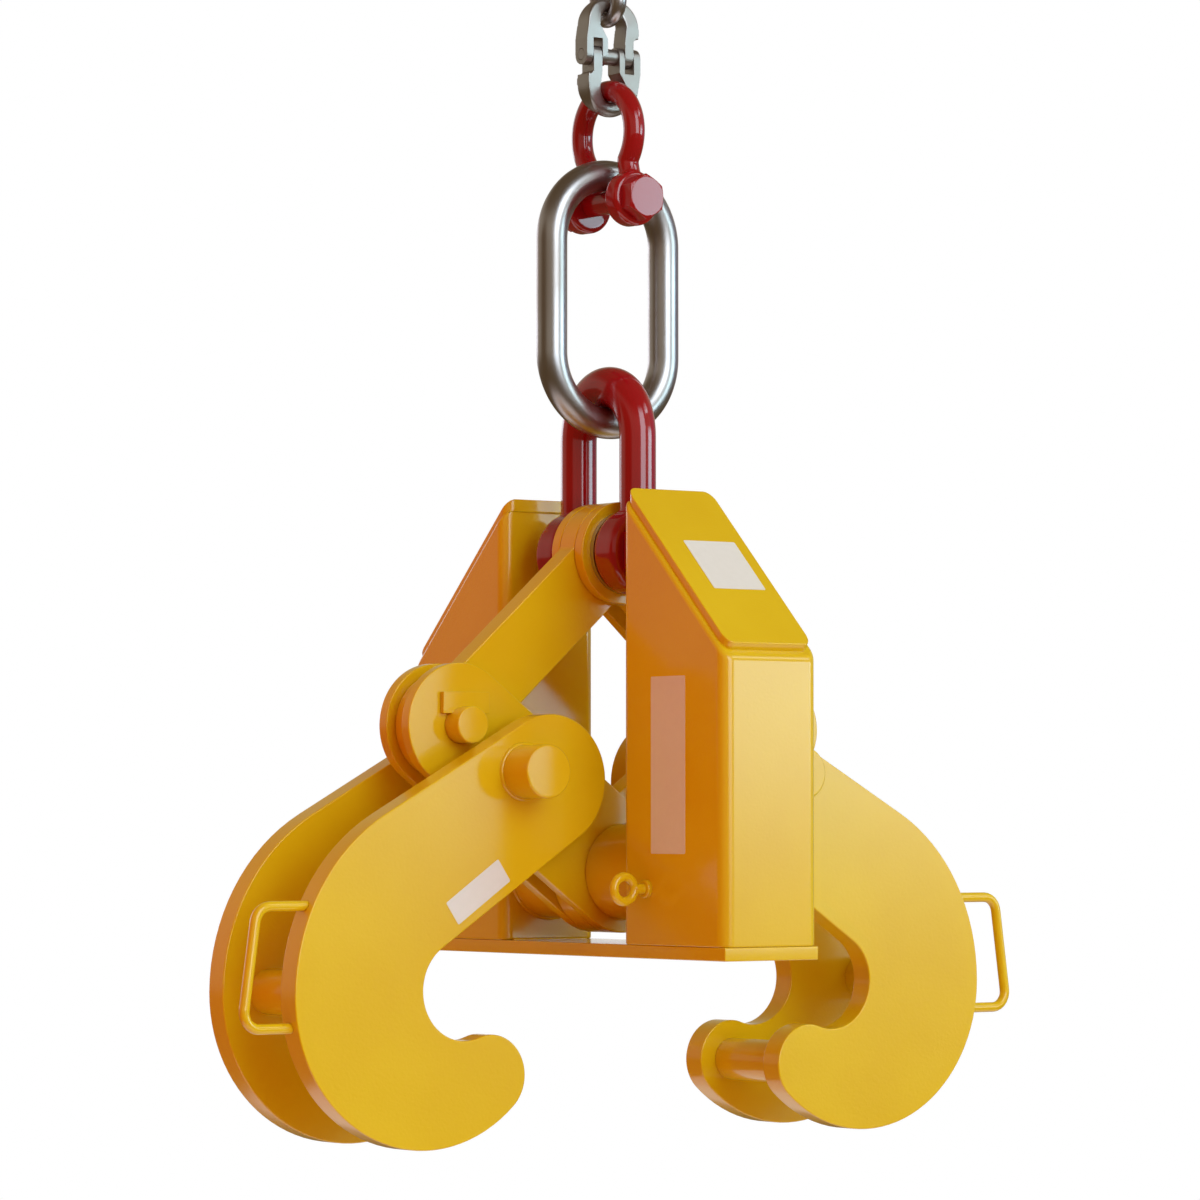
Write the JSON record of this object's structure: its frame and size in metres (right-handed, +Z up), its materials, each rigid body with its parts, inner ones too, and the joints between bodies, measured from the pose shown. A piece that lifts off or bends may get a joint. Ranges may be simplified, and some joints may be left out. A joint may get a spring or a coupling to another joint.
{
  "type": "beam grab",
  "caption": "Scissor-action lifting grab whose two pairs of hooks clamp a beam's top flange against a base plate, hung by shackles, an oblong link and a chain coupling.",
  "frame": {"origin": "middle of the base plate's underside, which sits on the beam's top flange", "axes": "+X across the hooks to the right hook, +Y along the beam from the front column (handle side) to the rear column, +Z up to the hoist chain"},
  "size_m": [1.1628, 0.652, 1.4672],
  "materials": {
    "yellow_paint": "satin",
    "red_paint": "gloss",
    "forged_steel": "satin",
    "plated_steel": "satin",
    "shaft_steel": "satin",
    "bronze": "machined"
  },
  "bodies": {
    "hoist_chain": {"chain_link": "forged_steel"},
    "coupler_upper": {"coupler_upper_half": "forged_steel", "coupler_load_pin": "forged_steel", "coupler_bushing": "forged_steel"},
    "coupler_lower": {"coupler_lower_half": "forged_steel"},
    "small_shackle": {"small_shackle_bow": "red_paint", "small_shackle_bolt": "red_paint", "small_shackle_nut": "red_paint", "small_shackle_cotter": "plated_steel"},
    "master_link": {"master_link": "forged_steel"},
    "main_shackle": {"main_shackle_bow": "red_paint", "main_shackle_bolt": "red_paint", "main_shackle_nut": "red_paint", "main_shackle_cotter": "plated_steel", "pin_spacers": "plated_steel"},
    "upper_arm_left": {"upper_link_left": "yellow_paint", "top_bush_left": "bronze", "knuckle_bush_left": "bronze"},
    "upper_arm_right": {"upper_link_right_front": "yellow_paint", "upper_link_right_rear": "yellow_paint", "top_bushes_right": "bronze", "knuckle_pin_right": "yellow_paint", "pin_keepers_right": "yellow_paint"},
    "lever_left": {"lower_link_left_front": "yellow_paint", "lower_link_left_rear": "yellow_paint", "centre_bushes_left": "bronze", "knuckle_pin_left": "yellow_paint", "pin_keepers_left": "yellow_paint", "hook_left_front": "yellow_paint", "hook_left_rear": "yellow_paint", "hook_spacer_left": "yellow_paint", "stop_pegs_left": "yellow_paint", "toe_bar_left": "yellow_paint", "heel_bar_left": "yellow_paint", "handle_left": "yellow_paint"},
    "lever_right": {"lower_link_right": "yellow_paint", "knuckle_bush_right": "bronze", "hook_right_front": "yellow_paint", "hook_right_rear": "yellow_paint", "hook_spacer_right": "yellow_paint", "stop_pegs_right": "yellow_paint", "toe_bar_right": "yellow_paint", "heel_bar_right": "yellow_paint", "handle_right": "yellow_paint"},
    "frame": {"base_plate": "yellow_paint", "column_front": "yellow_paint", "column_rear": "yellow_paint", "column_cap_front": "yellow_paint", "column_cap_rear": "yellow_paint", "pivot_tube_front": "yellow_paint", "pivot_tube_rear": "yellow_paint", "centre_shaft": "shaft_steel", "eye_bolt": "yellow_paint"}
  },
  "joints": [
    {"name": "coupler_swing", "type": "hinge", "parent": "hoist_chain", "child": "coupler_upper", "pos_m": [0, 0, 1.15669], "axis": [0, 1, 0], "range_deg": [-30, 30]},
    {"name": "coupler_fold", "type": "hinge", "parent": "coupler_upper", "child": "coupler_lower", "pos_m": [0, 0, 1.11049], "axis": [1, 0, 0], "range_deg": [-20, 20]},
    {"name": "small_shackle_swing", "type": "hinge", "parent": "coupler_lower", "child": "small_shackle", "pos_m": [0, 0, 1.04499], "axis": [1, 0, 0], "range_deg": [-40, 40]},
    {"name": "master_link_swing", "type": "hinge", "parent": "small_shackle", "child": "master_link", "pos_m": [0, 0, 0.92879], "axis": [0, 1, 0], "range_deg": [-30, 30]},
    {"name": "main_shackle_swing", "type": "hinge", "parent": "master_link", "child": "main_shackle", "pos_m": [0, 0, 0.65444], "axis": [1, 0, 0], "range_deg": [-30, 30]},
    {"name": "upper_left_pivot", "type": "hinge", "parent": "main_shackle", "child": "upper_arm_left", "pos_m": [0, 0, 0.49299], "axis": [0, -1, 0], "range_deg": [-6, 20]},
    {"name": "upper_right_pivot", "type": "hinge", "parent": "main_shackle", "child": "upper_arm_right", "pos_m": [0, 0, 0.49299], "axis": [0, 1, 0], "range_deg": [-6, 20]},
    {"name": "lever_left_pivot", "type": "hinge", "parent": "upper_arm_left", "child": "lever_left", "pos_m": [-0.2424, 0, 0.27876], "axis": [0, 1, 0], "range_deg": [-13.1, 43.3]},
    {"name": "lever_right_pivot", "type": "hinge", "parent": "upper_arm_right", "child": "lever_right", "pos_m": [0.2424, 0, 0.27876], "axis": [0, -1, 0], "range_deg": [-13.1, 43.3]},
    {"name": "frame_pivot", "type": "hinge", "parent": "lever_left", "child": "frame", "pos_m": [0, 0, 0.102], "axis": [0, -1, 0], "range_deg": [-7.1, 23.3]}
  ],
  "couplings": [
    {"joint": "upper_right_pivot", "follows": "upper_left_pivot", "ratio": 1},
    {"joint": "lever_left_pivot", "follows": "upper_left_pivot", "ratio": 2.1575},
    {"joint": "lever_right_pivot", "follows": "upper_left_pivot", "ratio": 2.1575},
    {"joint": "frame_pivot", "follows": "upper_left_pivot", "ratio": 1.1575}
  ]
}
